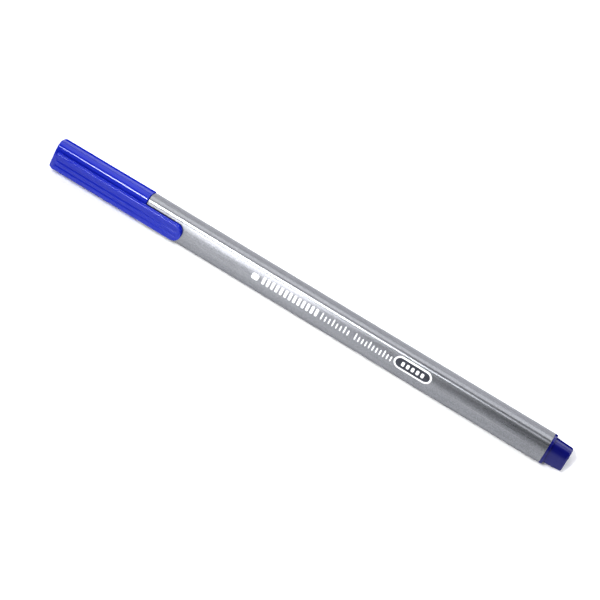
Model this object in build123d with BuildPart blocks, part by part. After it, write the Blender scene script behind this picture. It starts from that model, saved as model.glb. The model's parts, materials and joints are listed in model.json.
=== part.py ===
"""Capped fibre-tip fineliner pen with a rounded triangular barrel and a clip cap.

Frame: +X runs along the pen from the cap to the tail and +Z is up. The pen lies on one of its three
sides, and the origin is the centre of its footprint on the surface below. Every length is in
millimetres. Each piece has its own function, which returns one labelled part.
"""

import os
from math import cos, radians, sin

from build123d import *

# Lengthwise stations
HALF_LENGTH = 80.0
CAP_END_X = -HALF_LENGTH
CAP_LENGTH = 28.45
MOUTH_X = CAP_END_X + CAP_LENGTH
MOUTH_GAP = 0.05
SHOULDER_X = MOUTH_X + MOUTH_GAP
BARREL_END_X = 73.75
NECK_LENGTH = 9.6
NECK_END_X = SHOULDER_X - NECK_LENGTH
NIB_TIP_X = -72.9

# The rounded triangle that every section shares. Each side has a narrow flat in the middle and rolls
# over wide shoulder arcs into the corner arcs. A bigger corner radius gives a parallel outline further out.
CORNER_REACH = 2.95
SHOULDER_EXTRA = 10.0
SHOULDER_TURN = 11.0
FLAT_HALF = CORNER_REACH * sin(radians(60)) - SHOULDER_EXTRA * sin(radians(SHOULDER_TURN))
SIDE_BASE = CORNER_REACH / 2 + SHOULDER_EXTRA * (1 - cos(radians(SHOULDER_TURN)))

# Corner radii of the sections, and how their ends are rounded or chamfered
CAP_MOUTH_CORNER = 2.12
CAP_END_CORNER = 1.95
BARREL_FRONT_CORNER = 1.94
BARREL_REAR_CORNER = 2.08
WALL = 0.75
NECK_CORNER = 1.24
FLANGE_CORNER = 2.02
BARREL_FRONT_FILLET = 0.2
BARREL_REAR_FILLET = 0.12
NECK_CHAMFER = 0.25
FLANGE_FILLET = 0.15
SPIGOT_CHAMFER = 0.3
POST_FOOT_CORNER = 1.34
POST_END_CORNER = 1.1

# Cap and its snap fit on the neck
CAP_END_WALL = 1.1
CAP_END_FILLET = 0.32
MOUTH_FILLET = 0.3
SNAP_X = SHOULDER_X - 2.6
SNAP_BEAD = 0.06
SNAP_HALF_WIDTH = 0.5
SNAP_SINK = 0.05
GROOVE_SINK = 0.1
GROOVE_PLAY = 0.1
NECK_OVERLAP = 1.0

# Inner cap, which seals on the front section
INNER_CAP_MOUTH_X = NECK_END_X - 0.9
INNER_CAP_WALL = 0.78
INNER_CAP_END_WALL = 0.6
INNER_CAP_GAP = 0.015
SEAL_CLEARANCE = 0.04

# Clip, which stands on the pen's front side
CLIP_ROOT_X = -79.2
CLIP_TIP_X = -39.25
CLIP_WIDTH = 5.46
CLIP_TOP = 4.8
CLIP_EDGE_FILLET = 0.3
CLIP_TIP_FILLET = 2.4
CLIP_ROOT_FILLET = 0.5
CLIP_ROOT_LENGTH = 1.8
CLIP_SEAT_GAP = 0.01
CLIP_ARM_GAP = 0.15
CLIP_LEDGE_WIDTH = 0.1
CLIP_LEDGE_TOP = 4.15
CLIP_FOOT_LENGTH = 3.2
CLIP_FOOT_GAP = 0.08
FLUTE_WIDTH = 0.95
FLUTE_DEPTH = 0.13
FLUTE_START_INSET = 1.0
FLUTE_END_INSET = 1.3
RIB_WIDTH = 0.7

# Front section and writing tip
NECK_BORE = 2.15
PRESS_GAP = 0.01
CAVITY_FRONT_X = SHOULDER_X + 3.0
LAND_RADIUS = 2.2
LAND_LENGTH = 3.4
CONE_END_X = -69.2
CONE_END_RADIUS = 0.85
SLEEVE_RADIUS = 0.65
SLEEVE_REAR_X = -64.2
SLEEVE_TIP_X = NIB_TIP_X + 0.7
ROD_RADIUS = 0.5
ROD_NECK_RADIUS = 0.3
ROD_REAR_X = -43.0

# Ink store
RESERVOIR_RADIUS = 2.7
FILM_WALL = 0.08
RESERVOIR_FRONT_X = CAVITY_FRONT_X + 0.4
RESERVOIR_REAR_X = 61.0

# End plug
FLANGE_WIDTH = 0.8
GATE_HEIGHT = 0.12
GATE_RADIUS = 0.45
POST_END_X = HALF_LENGTH - GATE_HEIGHT
POST_FILLET = 0.55
POST_END_WALL = 1.4
PLUG_WALL = 0.85
PLUG_FIT_GAP = 0.02


def side_reach(corner_radius):
    """Distance from the pen's axis to the flat of a side, for a section with this corner radius."""
    return corner_radius + SIDE_BASE


def cap_corner(x):
    """Corner radius of the tapered cap at x."""
    return CAP_END_CORNER + (CAP_MOUTH_CORNER - CAP_END_CORNER) * (x - CAP_END_X) / CAP_LENGTH


def barrel_corner(x):
    """Corner radius of the tapered barrel at x."""
    share = (x - SHOULDER_X) / (BARREL_END_X - SHOULDER_X)
    return BARREL_FRONT_CORNER + (BARREL_REAR_CORNER - BARREL_FRONT_CORNER) * share


# The pen's axis over the surface it lies on, and sideways of the footprint's centre. The clip's lower
# edge is the furthest point on the front, and the cap's corner on the back.
CLIP_ARC_HEIGHT = CLIP_TOP - CLIP_EDGE_FILLET
CLIP_ARC_ACROSS = CLIP_WIDTH / 2 - CLIP_EDGE_FILLET
FRONT_REACH = CLIP_ARC_HEIGHT * cos(radians(30)) + CLIP_ARC_ACROSS * sin(radians(30)) + CLIP_EDGE_FILLET
BACK_REACH = CORNER_REACH * cos(radians(30)) + CAP_MOUTH_CORNER
AXIS_Y = (FRONT_REACH - BACK_REACH) / 2
AXIS_Z = side_reach(CAP_MOUTH_CORNER)

PEN_AXIS = Axis((0, AXIS_Y, AXIS_Z), (1, 0, 0))
FRONT_NORMAL = (0, -cos(radians(30)), sin(radians(30)))
FRONT_AXIS = Axis((0, AXIS_Y, AXIS_Z), FRONT_NORMAL)
FRONT_SIDE = Plane(origin=(0, AXIS_Y, AXIS_Z), x_dir=(1, 0, 0), z_dir=FRONT_NORMAL)
LONG_PROFILE = Plane(origin=(0, AXIS_Y, AXIS_Z), x_dir=(1, 0, 0), z_dir=(0, -1, 0))


def station(x):
    """The plane across the pen at x. Its own X is the pen's Y and its own Y is up."""
    return Plane(origin=(x, AXIS_Y, AXIS_Z), x_dir=(0, 1, 0), z_dir=(1, 0, 0))


def triangle_face(corner_radius):
    """The rounded triangle with one corner up, as a flat sketch about the pen's axis."""
    shoulder_radius = corner_radius + SHOULDER_EXTRA
    corner_half = 60 - SHOULDER_TURN
    with BuildSketch() as section:
        with BuildLine():
            for turn in (0, 120, 240):
                corner = Vector(0, CORNER_REACH).rotate(Axis.Z, turn)
                shoulder_y = side_reach(corner_radius) - shoulder_radius
                CenterArc(corner, corner_radius, 90 + turn - corner_half, 2 * corner_half)
                for side, start in ((1, -90), (-1, -90 - SHOULDER_TURN)):
                    centre = Vector(side * FLAT_HALF, -shoulder_y).rotate(Axis.Z, turn)
                    CenterArc(centre, shoulder_radius, start + turn, SHOULDER_TURN)
                flat_left = Vector(-FLAT_HALF, -side_reach(corner_radius)).rotate(Axis.Z, turn)
                flat_right = Vector(FLAT_HALF, -side_reach(corner_radius)).rotate(Axis.Z, turn)
                Line(flat_left, flat_right)
        make_face()
    return section.sketch


def triangle_run(x_a, corner_a, x_b, corner_b):
    """A straight length of rounded triangle between two stations, tapered if its corners differ."""
    face_a = triangle_face(corner_a)
    face_b = triangle_face(corner_b)
    with BuildPart() as run:
        with BuildSketch(station(x_a)):
            add(face_a)
        with BuildSketch(station(x_b)):
            add(face_b)
        loft(ruled=True)
    return run.part


def turned_piece(points):
    """A round piece from the (x, radius) points of its closed outline."""
    with BuildPart() as piece:
        with BuildSketch(LONG_PROFILE):
            with BuildLine():
                Polyline(*points, close=True)
            make_face()
        revolve(axis=PEN_AXIS)
    return piece.part


def snap_ring(corner_radius, low, half_width):
    """The snap's low ring: a crest of this corner radius between two ramps that start lower down."""
    ramp_in = triangle_run(SNAP_X - half_width, low, SNAP_X - half_width / 2, corner_radius)
    crest = triangle_run(SNAP_X - half_width / 2, corner_radius, SNAP_X + half_width / 2, corner_radius)
    ramp_out = triangle_run(SNAP_X + half_width / 2, corner_radius, SNAP_X + half_width, low)
    return ramp_in + crest + ramp_out


def make_barrel():
    tube = triangle_run(SHOULDER_X, BARREL_FRONT_CORNER, BARREL_END_X, BARREL_REAR_CORNER)
    neck = triangle_run(NECK_END_X, NECK_CORNER, SHOULDER_X + NECK_OVERLAP, NECK_CORNER)
    bead = snap_ring(NECK_CORNER + SNAP_BEAD, NECK_CORNER - SNAP_SINK, SNAP_HALF_WIDTH)
    cavity = triangle_run(
        CAVITY_FRONT_X, barrel_corner(CAVITY_FRONT_X) - WALL, BARREL_END_X, BARREL_REAR_CORNER - WALL
    )
    with BuildPart() as barrel:
        add(tube)
        fillet(barrel.faces().sort_by(Axis.X)[0].edges(), BARREL_FRONT_FILLET)
        fillet(barrel.faces().sort_by(Axis.X)[-1].edges(), BARREL_REAR_FILLET)
        add(neck)
        chamfer(barrel.faces().sort_by(Axis.X)[0].edges(), NECK_CHAMFER)
        add(bead)
        add(cavity, mode=Mode.SUBTRACT)
        with BuildSketch(station(NECK_END_X)):
            Circle(NECK_BORE)
        extrude(amount=CAVITY_FRONT_X - NECK_END_X, mode=Mode.SUBTRACT)
    barrel.part.label = "barrel"
    return barrel.part


def make_end_plug():
    flange_end_x = BARREL_END_X + FLANGE_WIDTH
    spigot_rear = BARREL_REAR_CORNER - WALL - PLUG_FIT_GAP
    spigot_front = barrel_corner(RESERVOIR_REAR_X) - WALL - PLUG_FIT_GAP
    post = triangle_run(flange_end_x, POST_FOOT_CORNER, POST_END_X, POST_END_CORNER)
    flange = triangle_run(BARREL_END_X, FLANGE_CORNER, flange_end_x, FLANGE_CORNER)
    spigot = triangle_run(RESERVOIR_REAR_X, spigot_front, BARREL_END_X, spigot_rear)
    with BuildPart() as plug:
        add(flange)
        fillet(plug.faces().sort_by(Axis.X)[-1].edges(), FLANGE_FILLET)
        add(spigot)
        chamfer(plug.faces().sort_by(Axis.X)[0].edges(), SPIGOT_CHAMFER)
        add(post)
        fillet(plug.faces().sort_by(Axis.X)[-1].edges(), POST_FILLET)
        with BuildSketch(station(POST_END_X)):
            Circle(GATE_RADIUS)
        extrude(amount=GATE_HEIGHT)
        with BuildSketch(station(RESERVOIR_REAR_X)):
            Circle(side_reach(spigot_front) - PLUG_WALL)
        extrude(amount=POST_END_X - POST_END_WALL - RESERVOIR_REAR_X, mode=Mode.SUBTRACT)
    plug.part.label = "end_plug"
    return plug.part


def make_cap():
    inner_mouth = CAP_MOUTH_CORNER - WALL
    shell = triangle_run(CAP_END_X, CAP_END_CORNER, MOUTH_X, CAP_MOUTH_CORNER)
    cavity_end_x = CAP_END_X + CAP_END_WALL
    cavity = triangle_run(cavity_end_x, cap_corner(cavity_end_x) - WALL, MOUTH_X, inner_mouth)
    groove = snap_ring(inner_mouth + SNAP_BEAD, inner_mouth - GROOVE_SINK, SNAP_HALF_WIDTH + GROOVE_PLAY)
    with BuildPart() as cap:
        add(shell)
        fillet(cap.faces().sort_by(Axis.X)[0].edges(), CAP_END_FILLET)
        fillet(cap.faces().sort_by(Axis.X)[-1].edges(), MOUTH_FILLET)
        add(cavity, mode=Mode.SUBTRACT)
        add(groove, mode=Mode.SUBTRACT)
    cap.part.label = "cap"
    return cap.part


def make_inner_cap():
    back_x = CAP_END_X + CAP_END_WALL
    outer_back = side_reach(CAP_END_CORNER - WALL) - INNER_CAP_GAP
    outer_mouth = outer_back + cap_corner(INNER_CAP_MOUTH_X) - cap_corner(back_x)
    lip = LAND_RADIUS + SEAL_CLEARANCE
    floor_x = back_x + INNER_CAP_END_WALL
    inner_cap_body = turned_piece(
        [
            (back_x, 0),
            (back_x, outer_back - 0.3),
            (back_x + 0.3, outer_back),
            (INNER_CAP_MOUTH_X - 0.1, outer_mouth),
            (INNER_CAP_MOUTH_X, outer_mouth - 0.1),
            (INNER_CAP_MOUTH_X, lip + 0.1),
            (INNER_CAP_MOUTH_X - 0.3, lip),
            (INNER_CAP_MOUTH_X - 2.2, lip),
            (INNER_CAP_MOUTH_X - 2.6, outer_back - INNER_CAP_WALL),
            (floor_x, outer_back - INNER_CAP_WALL),
            (floor_x, 0),
        ]
    )
    inner_cap_body.label = "inner_cap"
    return inner_cap_body


def make_clip():
    length = CLIP_TIP_X - CLIP_ROOT_X
    middle = (CLIP_TIP_X + CLIP_ROOT_X) / 2
    base = side_reach(CAP_END_CORNER) - 0.5
    root_end_x = CLIP_ROOT_X + CLIP_ROOT_LENGTH
    foot_x = CLIP_TIP_X - CLIP_FOOT_LENGTH
    under_root = triangle_run(
        CAP_END_X, CAP_END_CORNER + CLIP_SEAT_GAP, MOUTH_X, CAP_MOUTH_CORNER + CLIP_SEAT_GAP
    )
    arm_corner = CAP_MOUTH_CORNER + CLIP_ARM_GAP
    under_arm = triangle_run(root_end_x, arm_corner, foot_x, arm_corner)
    foot_corner = BARREL_FRONT_CORNER + CLIP_FOOT_GAP
    under_foot = triangle_run(foot_x, foot_corner, CLIP_TIP_X + 1, foot_corner)
    flute_radius = (FLUTE_WIDTH**2 / 4 + FLUTE_DEPTH**2) / (2 * FLUTE_DEPTH)
    flute_across = (FLUTE_WIDTH + RIB_WIDTH) / 2
    flute_start = CLIP_ROOT_X + FLUTE_START_INSET
    flute_length = CLIP_TIP_X - FLUTE_END_INSET - flute_start
    with BuildPart() as clip:
        for spread, top in ((CLIP_LEDGE_WIDTH, CLIP_LEDGE_TOP), (0, CLIP_TOP)):
            with BuildSketch(FRONT_SIDE.offset(base)) as plan:
                with Locations((middle, 0)):
                    Rectangle(length, CLIP_WIDTH + 2 * spread)
                fillet(plan.vertices().group_by(Axis.X)[-1], CLIP_TIP_FILLET)
                fillet(plan.vertices().group_by(Axis.X)[0], CLIP_ROOT_FILLET)
            extrude(amount=top - base)
            edge_round = CLIP_EDGE_FILLET if spread == 0 else CLIP_LEDGE_WIDTH * 0.8
            fillet(clip.faces().sort_by(FRONT_AXIS)[-1].edges(), edge_round)
        add(under_root, mode=Mode.SUBTRACT)
        add(under_arm, mode=Mode.SUBTRACT)
        add(under_foot, mode=Mode.SUBTRACT)
        flute_plane = Plane(
            origin=FRONT_SIDE.from_local_coords((flute_start, 0, CLIP_TOP - FLUTE_DEPTH + flute_radius)),
            x_dir=FRONT_SIDE.y_dir,
            z_dir=(1, 0, 0),
        )
        with BuildSketch(flute_plane):
            with Locations((-flute_across, 0), (flute_across, 0)):
                Circle(flute_radius)
        extrude(amount=flute_length, mode=Mode.SUBTRACT)
    clip.part.label = "clip"
    return clip.part


def make_front_section():
    spigot = NECK_BORE - PRESS_GAP
    land_end_x = NECK_END_X - LAND_LENGTH
    sleeve_bore = SLEEVE_RADIUS + PRESS_GAP
    rod_bore = ROD_RADIUS + 2 * PRESS_GAP
    section = turned_piece(
        [
            (CAVITY_FRONT_X - 0.6, rod_bore),
            (CAVITY_FRONT_X - 0.6, spigot - 0.3),
            (CAVITY_FRONT_X - 0.9, spigot),
            (NECK_END_X, spigot),
            (NECK_END_X, LAND_RADIUS),
            (land_end_x + 0.3, LAND_RADIUS),
            (land_end_x, LAND_RADIUS - 0.3),
            (land_end_x - 0.5, LAND_RADIUS - 0.62),
            (land_end_x - 2.2, LAND_RADIUS - 0.95),
            (CONE_END_X + 0.3, CONE_END_RADIUS + 0.15),
            (CONE_END_X, CONE_END_RADIUS),
            (CONE_END_X, sleeve_bore),
            (SLEEVE_REAR_X, sleeve_bore),
            (SLEEVE_REAR_X, rod_bore),
        ]
    )
    section.label = "front_section"
    return section


def make_tip_sleeve():
    bore = ROD_RADIUS + PRESS_GAP
    mouth = ROD_NECK_RADIUS + PRESS_GAP
    sleeve = turned_piece(
        [
            (SLEEVE_REAR_X, bore),
            (SLEEVE_REAR_X, SLEEVE_RADIUS),
            (SLEEVE_TIP_X + 1.1, SLEEVE_RADIUS),
            (SLEEVE_TIP_X + 0.15, mouth + 0.14),
            (SLEEVE_TIP_X, mouth + 0.08),
            (SLEEVE_TIP_X, mouth),
            (SLEEVE_TIP_X + 0.5, mouth),
            (SLEEVE_TIP_X + 1.2, bore),
        ]
    )
    sleeve.label = "tip_sleeve"
    return sleeve


def make_nib():
    nib = turned_piece(
        [
            (NIB_TIP_X, 0),
            (NIB_TIP_X, 0.07),
            (NIB_TIP_X + 0.06, 0.14),
            (NIB_TIP_X + 0.16, 0.18),
            (SLEEVE_TIP_X - 0.1, ROD_NECK_RADIUS - 0.03),
            (SLEEVE_TIP_X, ROD_NECK_RADIUS),
            (SLEEVE_TIP_X + 0.5, ROD_NECK_RADIUS),
            (SLEEVE_TIP_X + 1.2, ROD_RADIUS),
            (ROD_REAR_X - 0.3, ROD_RADIUS),
            (ROD_REAR_X, ROD_RADIUS - 0.25),
            (ROD_REAR_X, 0),
        ]
    )
    nib.label = "nib"
    return nib


def make_ink_reservoir():
    with BuildPart() as reservoir:
        with BuildSketch(station(RESERVOIR_FRONT_X)):
            Circle(RESERVOIR_RADIUS)
        extrude(amount=RESERVOIR_REAR_X - RESERVOIR_FRONT_X)
        with BuildSketch(station(RESERVOIR_FRONT_X)):
            Circle(ROD_RADIUS + PRESS_GAP)
        extrude(amount=ROD_REAR_X + 0.1 - RESERVOIR_FRONT_X, mode=Mode.SUBTRACT)
    reservoir.part.label = "ink_reservoir"
    return reservoir.part


def make_reservoir_film():
    with BuildPart() as film:
        with BuildSketch(station(RESERVOIR_FRONT_X)):
            Circle(RESERVOIR_RADIUS + FILM_WALL)
            Circle(RESERVOIR_RADIUS, mode=Mode.SUBTRACT)
        extrude(amount=RESERVOIR_REAR_X - RESERVOIR_FRONT_X)
    film.part.label = "reservoir_film"
    return film.part


MAKERS = (
    make_barrel,
    make_end_plug,
    make_cap,
    make_inner_cap,
    make_clip,
    make_front_section,
    make_tip_sleeve,
    make_nib,
    make_ink_reservoir,
    make_reservoir_film,
)

os.makedirs("parts", exist_ok=True)
for maker in MAKERS:
    piece = maker()
    export_step(piece, f"parts/{piece.label}.step")
clip_pivot = FRONT_SIDE.from_local_coords((CLIP_ROOT_X, 0, side_reach(cap_corner(CLIP_ROOT_X))))
print("pen axis at y", round(AXIS_Y, 4), "z", round(AXIS_Z, 4), "clip pivot", clip_pivot)
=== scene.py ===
import json
import math

import bmesh
import bpy
from mathutils import Matrix, Vector
from mathutils.bvhtree import BVHTree


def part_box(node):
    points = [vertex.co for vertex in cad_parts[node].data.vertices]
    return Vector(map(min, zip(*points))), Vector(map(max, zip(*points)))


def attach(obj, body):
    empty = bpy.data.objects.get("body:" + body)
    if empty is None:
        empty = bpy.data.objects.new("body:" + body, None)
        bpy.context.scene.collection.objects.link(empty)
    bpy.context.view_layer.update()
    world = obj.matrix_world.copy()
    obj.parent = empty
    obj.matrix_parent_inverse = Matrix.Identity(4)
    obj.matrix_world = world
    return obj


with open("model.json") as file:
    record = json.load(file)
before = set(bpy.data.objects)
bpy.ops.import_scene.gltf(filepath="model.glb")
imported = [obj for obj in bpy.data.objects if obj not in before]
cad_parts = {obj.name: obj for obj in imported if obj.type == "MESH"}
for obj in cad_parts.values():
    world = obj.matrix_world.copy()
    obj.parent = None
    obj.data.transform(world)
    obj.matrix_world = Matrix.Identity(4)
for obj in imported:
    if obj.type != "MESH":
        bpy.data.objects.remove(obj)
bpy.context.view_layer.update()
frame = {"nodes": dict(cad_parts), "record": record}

MM = 0.001
NODES = frame["nodes"]
RECORD = frame["record"]

# The pen's own directions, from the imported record. Its axis runs along X through the tail post. The
# clip's hinge line lies in the front side and points down it, and FRONT is that side's outward normal.
TAIL = Vector(next(m["pos_m"] for m in RECORD["mounts"] if m["name"] == "tail_post"))
HINGE = Vector(next(j["axis"] for j in RECORD["behaviour"]["joints"] if j["name"] == "clip_flex"))
ALONG = Vector((1, 0, 0))
DOWN_FACE = HINGE.normalized()
FRONT = DOWN_FACE.cross(ALONG).normalized()
PEN_MIDDLE = Vector((0, TAIL.y, TAIL.z))
CAP_MOUTH_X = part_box("cap")[1][0]
BARREL_LENGTH_SHOWN = (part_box("barrel")[1][0] - CAP_MOUTH_X) / MM

# Camera: distance from the pen, elevation over the desk, lean towards the tail, roll, and how far the
# pen's middle stands from the picture's middle
CAMERA_DISTANCE = 0.877
CAMERA_ELEVATION = math.radians(70.1)
CAMERA_LEAN = math.radians(4.0)
CAMERA_ROLL = math.radians(31.15)
CAMERA_LENS = 196.5
CAMERA_SENSOR = 36
AIM_RIGHT = -3.15 * MM
AIM_UP = 0.93 * MM

# Studio: the world's dim tint, and for each soft box its place, its size, its radiance and what it faces
FLOOR_SIZE = 4
WORLD_TINT = (0.95, 0.97, 1.0, 1.0)
WORLD_STRENGTH = 0.12
SOFT_BOXES = (
    ("key", (-0.08, -0.11, 0.42), (0.15, 0.09), 24.0, (0, 0, 0)),
    ("front", (-0.045, -0.25, 0.145), (0.05, 0.27), 6.2, (-0.03, 0, 0.02)),
    ("tail_fill", (0.42, 0.02, 0.26), (0.24, 0.26), 3.2, (0.08, 0, 0)),
    ("back_wall", (-0.1, 0.90, 0.70), (2.4, 1.5), 1.35, (0, 0, 0)),
)

# Blue of the cap and of the clip, which are one colour: where the plastic flowed thick, and where thin
BLUE = (0.014, 0.030, 0.38)
BLUE_DEEP = (0.011, 0.024, 0.33)


# ---------------------------------------------------------------- node helpers


def new_material(name):
    """A material with its principled shader, and a function that adds linked nodes to it."""
    material = bpy.data.materials.new(name)
    material.use_nodes = True
    tree = material.node_tree
    shader = tree.nodes["Principled BSDF"]

    def add(kind, inputs=None, **settings):
        node = tree.nodes.new(kind)
        for key, value in settings.items():
            setattr(node, key, value)
        for key, value in (inputs or {}).items():
            if isinstance(value, bpy.types.NodeSocket):
                tree.links.new(value, node.inputs[key])
            else:
                node.inputs[key].default_value = value
        return node

    return material, shader, add, tree.links.new


def stretched_noise(add, scale, detail, stretch=(1, 1, 1), roughness=0.5):
    """Noise in the object's own coordinates. A stretch under 1 along an axis draws it out that way."""
    coords = add("ShaderNodeTexCoord").outputs["Object"]
    mapped = add("ShaderNodeMapping", {"Vector": coords, "Scale": stretch})
    inputs = {"Vector": mapped.outputs[0], "Scale": scale, "Detail": detail, "Roughness": roughness}
    return add("ShaderNodeTexNoise", inputs).outputs["Fac"]


def remap(add, value, low, high, from_low=0.3, from_high=0.7):
    inputs = {"Value": value, "From Min": from_low, "From Max": from_high, "To Min": low, "To Max": high}
    return add("ShaderNodeMapRange", inputs).outputs["Result"]


def mix_colours(add, factor, first, second):
    inputs = {0: factor, 6: first, 7: second}
    return add("ShaderNodeMix", inputs, data_type="RGBA").outputs[2]


def add_bump(add, height, distance, strength, normal=None):
    inputs = {"Height": height, "Distance": distance, "Strength": strength}
    if normal is not None:
        inputs["Normal"] = normal
    return add("ShaderNodeBump", inputs).outputs["Normal"]


def edge_calm(add, face_on, grazing):
    """A level that falls from face_on to grazing where the surface turns edge-on, as on worn plastic."""
    facing = add("ShaderNodeLayerWeight", {"Blend": 0.5}).outputs["Facing"]
    return remap(add, facing, face_on, grazing, 0.35, 0.8)


def colour(red, green, blue):
    return (red, green, blue, 1.0)


# ---------------------------------------------------------------- materials


def moulded_plastic(name, base, deep, rough):
    """Injection-moulded plastic: drawn-out flow streaks, uneven gloss, orange peel and fine rubs."""
    material, shader, add, link = new_material(name)
    flow = stretched_noise(add, 420, 3, (0.06, 1, 1))
    cloud = stretched_noise(add, 130, 2)
    tint = mix_colours(add, remap(add, flow, 0, 1), colour(*deep), colour(*base))
    tint = mix_colours(add, remap(add, cloud, 0, 0.35), tint, colour(*base))
    link(tint, shader.inputs["Base Color"])
    rub = stretched_noise(add, 2600, 4, (0.05, 1, 1), 0.7)
    gloss = remap(add, rub, rough - 0.05, rough + 0.07)
    link(gloss, shader.inputs["Roughness"])
    skin = stretched_noise(add, 1500, 2)
    normal = add_bump(add, skin, 0.010 * MM, 0.5)
    normal = add_bump(add, rub, 0.003 * MM, 0.4, normal)
    link(normal, shader.inputs["Normal"])
    shader.inputs["IOR"].default_value = 1.5
    link(edge_calm(add, 0.5, 0.0), shader.inputs["Specular IOR Level"])
    return material


def silver_plastic(name):
    """Grey plastic with fine metal flake in it, a little lighter where the flow laid the flake flat."""
    material, shader, add, link = new_material(name)
    flow = stretched_noise(add, 380, 3, (0.05, 1, 1))
    coords = add("ShaderNodeTexCoord").outputs["Object"]
    flakes = add("ShaderNodeTexVoronoi", {"Vector": coords, "Scale": 5200.0})
    flake_grey = add("ShaderNodeSeparateColor", {"Color": flakes.outputs["Color"]}).outputs[0]
    tint = mix_colours(add, remap(add, flow, 0, 1), colour(0.20, 0.205, 0.22), colour(0.26, 0.265, 0.28))
    sparkle = remap(add, flake_grey, 0, 0.45, 0.2, 1)
    tint = mix_colours(add, sparkle, tint, colour(0.38, 0.39, 0.42))
    link(tint, shader.inputs["Base Color"])
    rub = stretched_noise(add, 2400, 4, (0.04, 1, 1), 0.7)
    link(remap(add, rub, 0.26, 0.34), shader.inputs["Roughness"])
    skin = stretched_noise(add, 1400, 2)
    normal = add_bump(add, skin, 0.003 * MM, 0.3)
    normal = add_bump(add, flake_grey, 0.001 * MM, 0.3, normal)
    link(normal, shader.inputs["Normal"])
    shader.inputs["Metallic"].default_value = 0.88
    link(edge_calm(add, 0.3, 0.05), shader.inputs["Coat Weight"])
    shader.inputs["Coat Roughness"].default_value = 0.1
    shader.inputs["Specular Tint"].default_value = (0.62, 0.62, 0.65, 1.0)
    return material


def turned_steel(name):
    """Drawn steel tube with fine rings around it from grinding."""
    material, shader, add, link = new_material(name)
    rings = stretched_noise(add, 5200, 3, (1, 0.02, 0.02), 0.7)
    tint = mix_colours(add, remap(add, rings, 0, 1), colour(0.26, 0.26, 0.28), colour(0.40, 0.40, 0.42))
    link(tint, shader.inputs["Base Color"])
    link(remap(add, rings, 0.24, 0.38), shader.inputs["Roughness"])
    link(add_bump(add, rings, 0.002 * MM, 0.5), shader.inputs["Normal"])
    shader.inputs["Metallic"].default_value = 1.0
    return material


def ink_fibre(name):
    """Bonded fibre full of ink: long strands, darker where the ink sits."""
    material, shader, add, link = new_material(name)
    strands = stretched_noise(add, 6000, 4, (0.02, 1, 1), 0.7)
    pools = stretched_noise(add, 160, 2)
    tint = mix_colours(add, remap(add, strands, 0, 1), colour(0.010, 0.016, 0.20), colour(0.05, 0.08, 0.50))
    tint = mix_colours(add, remap(add, pools, 0, 0.5), tint, colour(0.008, 0.010, 0.12))
    link(tint, shader.inputs["Base Color"])
    link(remap(add, strands, 0.55, 0.85), shader.inputs["Roughness"])
    link(add_bump(add, strands, 0.03 * MM, 0.8), shader.inputs["Normal"])
    shader.inputs["Sheen Weight"].default_value = 0.2
    return material


def clear_film(name):
    """Thin wrapping film, slightly wrinkled, that lets the fibre show."""
    material, shader, add, link = new_material(name)
    creases = stretched_noise(add, 500, 3, (0.2, 1, 1))
    tint = mix_colours(add, remap(add, creases, 0, 1), colour(0.70, 0.76, 0.92), colour(0.90, 0.93, 1.0))
    link(tint, shader.inputs["Base Color"])
    link(remap(add, creases, 0.10, 0.25), shader.inputs["Roughness"])
    link(add_bump(add, creases, 0.03 * MM, 0.6), shader.inputs["Normal"])
    shader.inputs["Transmission Weight"].default_value = 0.8
    return material


def print_ink(name):
    """White pad-printed ink: matt, with the slight unevenness of a thin layer."""
    material, shader, add, link = new_material(name)
    cover = stretched_noise(add, 2200, 3, (1, 1, 1), 0.6)
    tint = mix_colours(add, remap(add, cover, 0, 1), colour(0.86, 0.87, 0.90), colour(0.97, 0.97, 0.98))
    link(tint, shader.inputs["Base Color"])
    link(remap(add, cover, 0.40, 0.60), shader.inputs["Roughness"])
    link(add_bump(add, cover, 0.004 * MM, 0.5), shader.inputs["Normal"])
    return material


def dark_ink(name):
    """Dark grey print that fills the badge, thin enough to show some of the flow beneath."""
    material, shader, add, link = new_material(name)
    cover = stretched_noise(add, 1800, 3, (0.3, 1, 1), 0.6)
    tint = mix_colours(add, remap(add, cover, 0, 1), colour(0.045, 0.048, 0.06), colour(0.075, 0.08, 0.10))
    link(tint, shader.inputs["Base Color"])
    link(remap(add, cover, 0.30, 0.45), shader.inputs["Roughness"])
    link(add_bump(add, cover, 0.004 * MM, 0.4), shader.inputs["Normal"])
    shader.inputs["Metallic"].default_value = 0.3
    return material


def seam_plastic(name):
    """The barrel's plastic where the mould halves met: lighter, and rubbed along its length."""
    material, shader, add, link = new_material(name)
    rub = stretched_noise(add, 1600, 3, (0.05, 1, 1))
    tint = mix_colours(add, remap(add, rub, 0, 1), colour(0.26, 0.265, 0.28), colour(0.34, 0.345, 0.36))
    link(tint, shader.inputs["Base Color"])
    link(remap(add, rub, 0.34, 0.5), shader.inputs["Roughness"])
    link(add_bump(add, rub, 0.003 * MM, 0.5), shader.inputs["Normal"])
    shader.inputs["Metallic"].default_value = 0.7
    return material


def desk_material(name):
    """Plain white sheet, matt, with hardly any tone to it."""
    material, shader, add, link = new_material(name)
    tooth = stretched_noise(add, 600, 3)
    tint = mix_colours(add, remap(add, tooth, 0, 1), colour(0.88, 0.88, 0.885), colour(0.92, 0.92, 0.925))
    link(tint, shader.inputs["Base Color"])
    link(remap(add, tooth, 0.75, 0.9), shader.inputs["Roughness"])
    shader.inputs["Specular IOR Level"].default_value = 0.1
    return material


def dress(node, material):
    """Gives a CAD node its material."""
    slots = NODES[node].data.materials
    slots.clear()
    slots.append(material)


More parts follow.
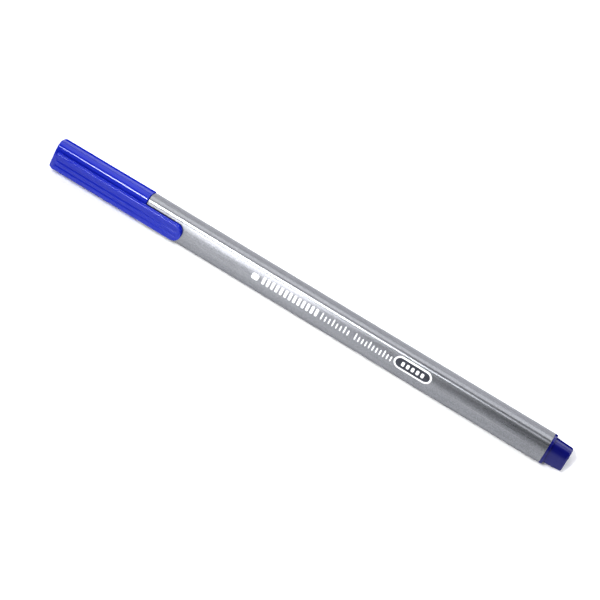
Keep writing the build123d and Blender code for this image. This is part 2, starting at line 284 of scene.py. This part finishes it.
def dress_all():
    dress("cap", moulded_plastic("cap_blue", BLUE, BLUE_DEEP, 0.14))
    dress("clip", moulded_plastic("clip_blue", BLUE, BLUE_DEEP, 0.13))
    dress("end_plug", moulded_plastic("plug_navy", (0.0065, 0.0085, 0.15), (0.005, 0.007, 0.125), 0.2))
    dress("barrel", silver_plastic("barrel_silver"))
    dress("front_section", moulded_plastic("section_grey", (0.30, 0.31, 0.33), (0.26, 0.27, 0.29), 0.32))
    dress("inner_cap", moulded_plastic("inner_cap_white", (0.82, 0.82, 0.79), (0.76, 0.76, 0.72), 0.42))
    dress("tip_sleeve", turned_steel("tip_steel"))
    dress("nib", moulded_plastic("nib_stained", (0.03, 0.05, 0.34), (0.012, 0.018, 0.20), 0.50))
    dress("ink_reservoir", ink_fibre("reservoir_fibre"))
    dress("reservoir_film", clear_film("reservoir_film"))


# ---------------------------------------------------------------- print on the barrel


# All places on the print are in millimetres: back from the cap's mouth towards the tail, and down the
# front side from the line over the pen's axis.
DROP_HEIGHT = 20 * MM
PRINT_LIFT = 0.018 * MM
PRINT_SINK = 0.03 * MM
UNDER_LIFT = 0.008 * MM
CURVE_STEPS = 14
BAND_STRIPS = 4
PATCH_ROWS = 6


def barrel_surface():
    """A function that drops a point onto the barrel's front side, from its way back and its way down."""
    mesh = NODES["barrel"].data
    tree = BVHTree.FromPolygons([v.co for v in mesh.vertices], [p.vertices for p in mesh.polygons])

    def drop(back, down):
        above = Vector((CAP_MOUTH_X + back * MM, PEN_MIDDLE.y, PEN_MIDDLE.z)) + FRONT * DROP_HEIGHT
        hit = tree.ray_cast(above + DOWN_FACE * down * MM, -FRONT)
        return hit[0], hit[1]

    return drop


def rounded_box(x0, x1, a0, a1, radius):
    """Outline of a rectangle with round corners, anticlockwise in (back, down)."""
    outline = []
    corners = ((x1, a1, 0), (x0, a1, 90), (x0, a0, 180), (x1, a0, 270))
    for cx, ca, start in corners:
        inset_x = cx - radius if cx == x1 else cx + radius
        inset_a = ca - radius if ca == a1 else ca + radius
        for step in range(CURVE_STEPS + 1):
            angle = math.radians(start + 90 * step / CURVE_STEPS)
            outline.append((inset_x + radius * math.cos(angle), inset_a + radius * math.sin(angle)))
    return outline


def add_band(mesh, drop, outer, inner):
    """A closed band of ink between two outlines with the same number of points, in strips."""
    rings = []
    shares = [i / BAND_STRIPS for i in range(BAND_STRIPS + 1)]
    for lift, order in ((PRINT_LIFT, shares), (-PRINT_SINK, shares[::-1])):
        for share in order:
            ring = []
            for (x0, a0), (x1, a1) in zip(outer, inner):
                point, normal = drop(x0 + (x1 - x0) * share, a0 + (a1 - a0) * share)
                ring.append(mesh.verts.new(point + normal * lift))
            rings.append(ring)
    count = len(outer)
    for first, second in zip(rings, rings[1:] + rings[:1]):
        for i in range(count):
            j = (i + 1) % count
            mesh.faces.new((first[i], first[j], second[j], second[i]))


def add_patch(mesh, drop, x0, x1, a0, a1, radius, rows=PATCH_ROWS, lift=PRINT_LIFT):
    """A closed patch of ink with round corners, in rows so that it follows the curved side."""
    top, bottom = [], []
    for row in range(rows + 1):
        down = a0 + (a1 - a0) * row / rows
        edge = min(down - a0, a1 - down)
        inset = 0 if edge >= radius else radius - math.sqrt(max(radius**2 - (radius - edge) ** 2, 0))
        for back in (x0 + inset, x1 - inset):
            point, normal = drop(back, down)
            top.append(mesh.verts.new(point + normal * lift))
            bottom.append(mesh.verts.new(point - normal * PRINT_SINK))
    for row in range(rows):
        a, b, c, d = 2 * row, 2 * row + 1, 2 * row + 3, 2 * row + 2
        mesh.faces.new((top[a], top[b], top[c], top[d]))
        mesh.faces.new((bottom[d], bottom[c], bottom[b], bottom[a]))
        mesh.faces.new((top[d], bottom[d], bottom[a], top[a]))
        mesh.faces.new((top[b], bottom[b], bottom[c], top[c]))
    last = 2 * rows
    mesh.faces.new((top[1], top[0], bottom[0], bottom[1]))
    mesh.faces.new((top[last], top[last + 1], bottom[last + 1], bottom[last]))


def finish_print(mesh, name, material):
    """Makes the mesh a piece that rides on the pen and takes its finish from the slot."""
    bmesh.ops.recalc_face_normals(mesh, faces=mesh.faces)
    data = bpy.data.meshes.new(name)
    mesh.to_mesh(data)
    mesh.free()
    piece = bpy.data.objects.new(name, data)
    bpy.context.collection.objects.link(piece)
    data.materials.append(material)
    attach(piece, "pen_body")


# Each run of strokes: its start and end, the width of a stroke and of a gap, and the strokes' heights in
# turn. All strokes stand on one base line.
PRINT_BASE = 0.15
STROKE_CORNER = 0.12
PRINT_RUNS = (
    ("print_bold_strokes", 37.25, 54.55, 0.85, 0.45, (2.6,)),
    ("print_first_strokes", 55.65, 64.35, 0.42, 0.62, (2.5, 1.9, 1.9)),
    ("print_second_strokes", 66.15, 77.65, 0.42, 0.62, (2.5, 1.9, 1.9, 1.9)),
)


def make_strokes(drop, ink):
    """Plain strokes in three runs, tall ones among shorter ones. No lettering."""
    for name, start, end, stroke, gap, heights in PRINT_RUNS:
        mesh = bmesh.new()
        count = int((end - start + gap) / (stroke + gap))
        pitch = (end - start - stroke) / (count - 1)
        for i in range(count):
            left = start + i * pitch
            top = PRINT_BASE - heights[i % len(heights)]
            add_patch(mesh, drop, left, left + stroke, top, PRINT_BASE, STROKE_CORNER)
        finish_print(mesh, name, ink)


# The badge: a pill with an outline, and a row of blocks in it
BADGE_START = 78.25
BADGE_END = 89.75
BADGE_TOP = -3.45
BADGE_BOTTOM = 0.68
BADGE_LINE = 0.55
BADGE_ROWS = 20
BLOCK_COUNT = 5
BLOCK_INSET = 2.3
BLOCK_PITCH = 1.5
BLOCK_WIDTH = 0.9
BLOCK_HALF_HEIGHT = 0.75
BLOCK_CORNER = 0.2


def make_badge(drop, ink):
    """A dark pill under a plain outline and plain blocks."""
    radius = (BADGE_BOTTOM - BADGE_TOP) / 2
    mesh = bmesh.new()
    add_patch(mesh, drop, BADGE_START, BADGE_END, BADGE_TOP, BADGE_BOTTOM, radius, BADGE_ROWS, UNDER_LIFT)
    finish_print(mesh, "print_pill_fill", dark_ink("print_dark"))

    mesh = bmesh.new()
    outer = rounded_box(BADGE_START, BADGE_END, BADGE_TOP, BADGE_BOTTOM, radius)
    inner = rounded_box(
        BADGE_START + BADGE_LINE,
        BADGE_END - BADGE_LINE,
        BADGE_TOP + BADGE_LINE,
        BADGE_BOTTOM - BADGE_LINE,
        radius - BADGE_LINE,
    )
    add_band(mesh, drop, outer, inner)
    finish_print(mesh, "print_pill_outline", ink)

    mesh = bmesh.new()
    middle = (BADGE_TOP + BADGE_BOTTOM) / 2
    top, bottom = middle - BLOCK_HALF_HEIGHT, middle + BLOCK_HALF_HEIGHT
    for i in range(BLOCK_COUNT):
        left = BADGE_START + BLOCK_INSET + i * BLOCK_PITCH
        add_patch(mesh, drop, left, left + BLOCK_WIDTH, top, bottom, BLOCK_CORNER)
    finish_print(mesh, "print_pill_blocks", ink)


# The square that leads the print line
SQUARE_START = 34.05
SQUARE_SIZE = 2.1
SQUARE_CORNER = 0.35


def make_square(drop, ink):
    mesh = bmesh.new()
    end = SQUARE_START + SQUARE_SIZE
    add_patch(mesh, drop, SQUARE_START, end, PRINT_BASE - SQUARE_SIZE, PRINT_BASE, SQUARE_CORNER)
    finish_print(mesh, "print_square", ink)


def make_print(drop):
    ink = print_ink("print_white")
    make_strokes(drop, ink)
    make_badge(drop, ink)
    make_square(drop, ink)


# The parting line of the barrel's mould, a fine ridge along the middle of its front side
SEAM_FRONT_GAP = 0.55
SEAM_REAR_GAP = 0.35
SEAM_MIDDLE = -0.3
SEAM_WIDTH = 0.14
SEAM_CORNER = 0.05
SEAM_ROWS = 4
SEAM_LIFT = 0.006 * MM


def make_mould_line(drop):
    mesh = bmesh.new()
    end = BARREL_LENGTH_SHOWN - SEAM_REAR_GAP
    top = SEAM_MIDDLE - SEAM_WIDTH / 2
    bottom = top + SEAM_WIDTH
    add_patch(mesh, drop, SEAM_FRONT_GAP, end, top, bottom, SEAM_CORNER, SEAM_ROWS, SEAM_LIFT)
    finish_print(mesh, "mould_line", seam_plastic("seam_silver"))


# ---------------------------------------------------------------- floor, lights and camera


def make_floor():
    bpy.ops.mesh.primitive_plane_add(size=FLOOR_SIZE, location=(0, 0, 0))
    floor = bpy.context.object
    floor.name = "desk"
    floor.data.materials.append(desk_material("desk_white"))


def softbox(name, place, size, radiance, target):
    """A rectangular area light that faces the target and shines with the given radiance."""
    light = bpy.data.lights.new(name, "AREA")
    light.shape = "RECTANGLE"
    light.size, light.size_y = size
    light.energy = radiance * math.pi * size[0] * size[1]
    box = bpy.data.objects.new(name, light)
    box.location = place
    aim = Vector(target) - Vector(place)
    box.rotation_euler = aim.to_track_quat("-Z", "Y").to_euler()
    bpy.context.collection.objects.link(box)


def make_lights():
    world = bpy.data.worlds.new("studio")
    bpy.context.scene.world = world
    world.use_nodes = True
    backdrop = world.node_tree.nodes["Background"]
    backdrop.inputs["Color"].default_value = WORLD_TINT
    backdrop.inputs["Strength"].default_value = WORLD_STRENGTH
    for name, place, size, radiance, target in SOFT_BOXES:
        softbox(name, place, size, radiance, target)


def make_camera():
    toward = Vector(
        (
            math.sin(CAMERA_LEAN),
            -math.cos(CAMERA_ELEVATION) * math.cos(CAMERA_LEAN),
            math.sin(CAMERA_ELEVATION) * math.cos(CAMERA_LEAN),
        )
    )
    level = (ALONG - toward * ALONG.dot(toward)).normalized()
    rise = toward.cross(level)
    right = level * math.cos(CAMERA_ROLL) + rise * math.sin(CAMERA_ROLL)
    up = rise * math.cos(CAMERA_ROLL) - level * math.sin(CAMERA_ROLL)
    place = PEN_MIDDLE + toward * CAMERA_DISTANCE + right * AIM_RIGHT + up * AIM_UP
    data = bpy.data.cameras.new("camera")
    data.lens = CAMERA_LENS
    data.sensor_width = CAMERA_SENSOR
    camera = bpy.data.objects.new("camera", data)
    turn = Matrix((right, up, toward)).transposed().to_4x4()
    camera.matrix_world = Matrix.Translation(place) @ turn
    bpy.context.collection.objects.link(camera)
    bpy.context.scene.camera = camera


make_camera()
make_floor()
make_lights()
dress_all()
surface = barrel_surface()
make_print(surface)
make_mould_line(surface)
bpy.context.scene.view_settings.view_transform = "Standard"
bpy.context.scene.view_settings.look = "High Contrast"
